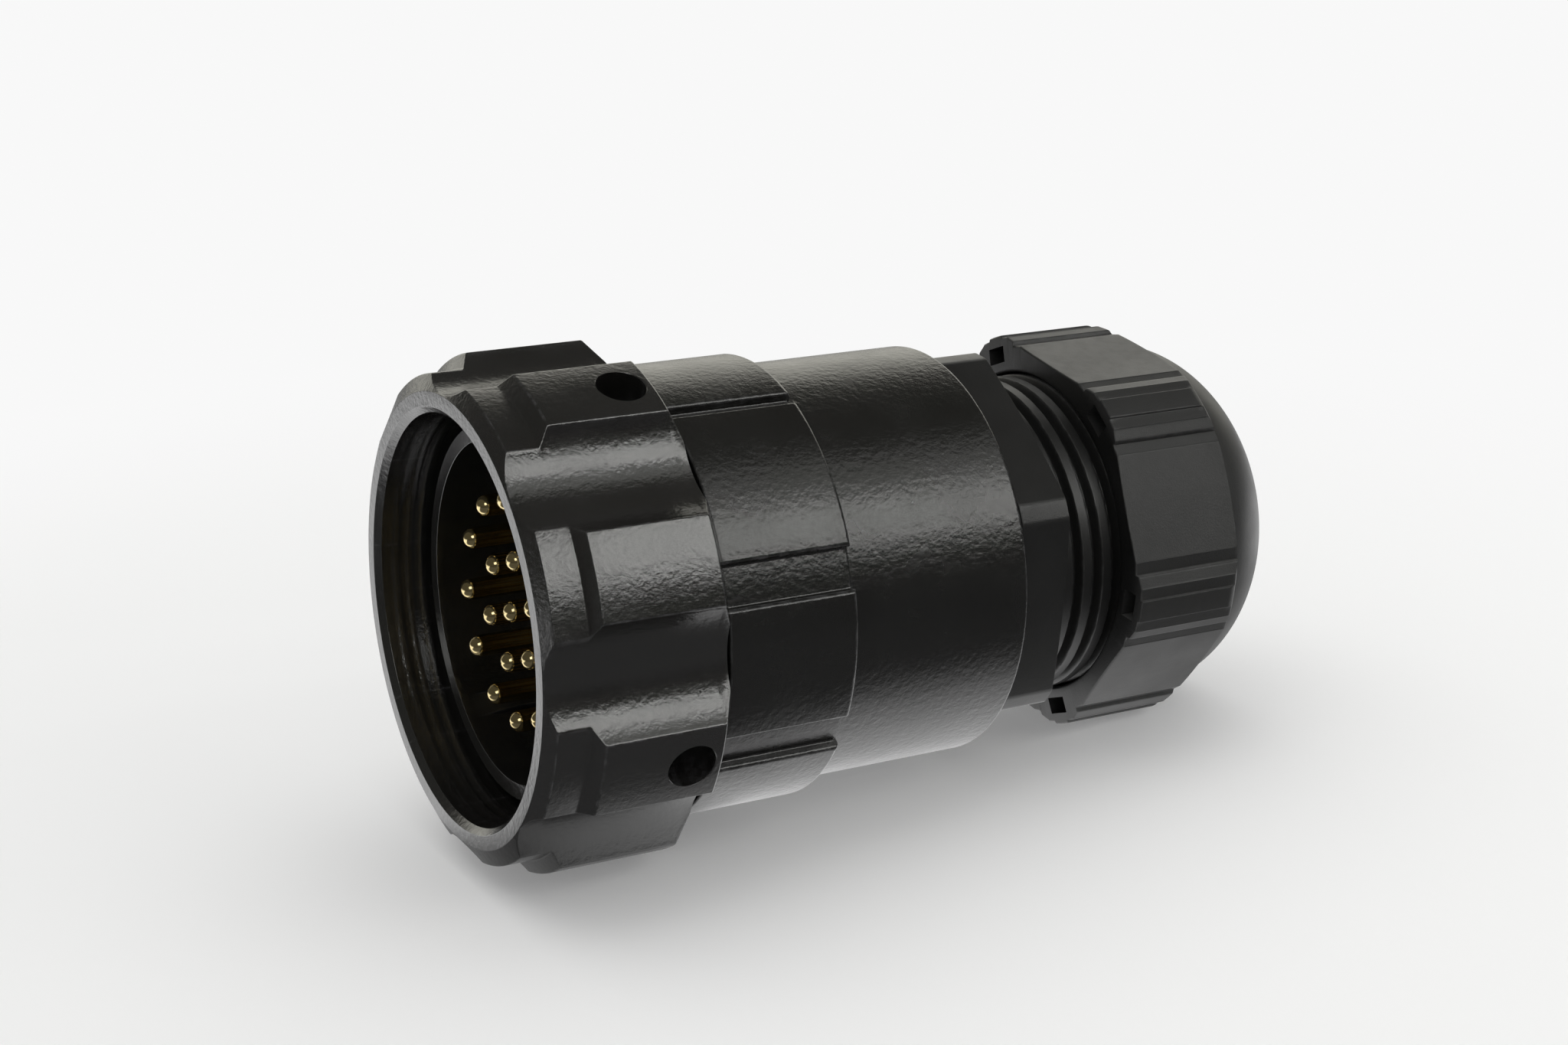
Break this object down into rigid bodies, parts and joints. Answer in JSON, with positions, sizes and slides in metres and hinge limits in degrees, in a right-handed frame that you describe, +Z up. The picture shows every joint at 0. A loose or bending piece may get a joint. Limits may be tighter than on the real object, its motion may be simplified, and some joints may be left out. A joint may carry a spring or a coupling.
{
  "type": "in-line multi-pin cable plug",
  "caption": "Round in-line cable plug with gold pins, a fluted coupling ring that spins, a black backshell and a domed cable gland whose nut screws on a coarse thread.",
  "frame": {"origin": "centre of the mating face, in the plane of the coupling ring's front rim", "axes": "+X along the axis from the mating face to the cable end, +Z up as the plug lies on two lugs of the ring, +Y by the right-hand rule"},
  "size_m": [0.0963, 0.0546, 0.0546],
  "materials": {
    "ring_black": "black anodised, satin",
    "backshell_paint": "glossy black paint over a cast surface",
    "gland_nylon": "moulded nylon, satin black",
    "insulator": "moulded black",
    "seal_rubber": "matte black rubber",
    "contact_gold": "gold plated, polished"
  },
  "bodies": {
    "plug_body": {"plug_shell": "ring_black", "mating_seal": "seal_rubber", "front_insulator": "insulator", "rear_insulator": "insulator", "insulator_retainer": "ring_black", "backshell": "backshell_paint", "gland_gasket": "seal_rubber", "gland_body": "gland_nylon", "contact_01": "contact_gold", "contact_02": "contact_gold", "contact_03": "contact_gold", "contact_04": "contact_gold", "contact_05": "contact_gold", "contact_06": "contact_gold", "contact_07": "contact_gold", "contact_08": "contact_gold", "contact_09": "contact_gold", "contact_10": "contact_gold", "contact_11": "contact_gold", "contact_12": "contact_gold", "contact_13": "contact_gold", "contact_14": "contact_gold", "contact_15": "contact_gold", "contact_16": "contact_gold", "contact_17": "contact_gold", "contact_18": "contact_gold", "contact_19": "contact_gold"},
    "coupling_ring": {"coupling_ring": "ring_black"},
    "clamp": {"clamping_cage": "gland_nylon", "sealing_insert": "seal_rubber"},
    "gland_nut": {"gland_nut": "gland_nylon"}
  },
  "joints": [
    {"name": "ring_spin", "type": "hinge", "parent": "plug_body", "child": "coupling_ring", "pos_m": [0.0165, 0, 0], "axis": [1, 0, 0], "continuous": true},
    {"name": "clamp_slide", "type": "slide", "parent": "plug_body", "child": "clamp", "axis": [1, 0, 0], "range_m": [-0.00265, 0.00655]},
    {"name": "nut_turn", "type": "hinge", "parent": "clamp", "child": "gland_nut", "pos_m": [0.08, 0, 0], "axis": [1, 0, 0], "range_deg": [-360, 900]}
  ],
  "couplings": [
    {"joint": "clamp_slide", "follows": "nut_turn", "m_per_rad": 0.0004138}
  ]
}
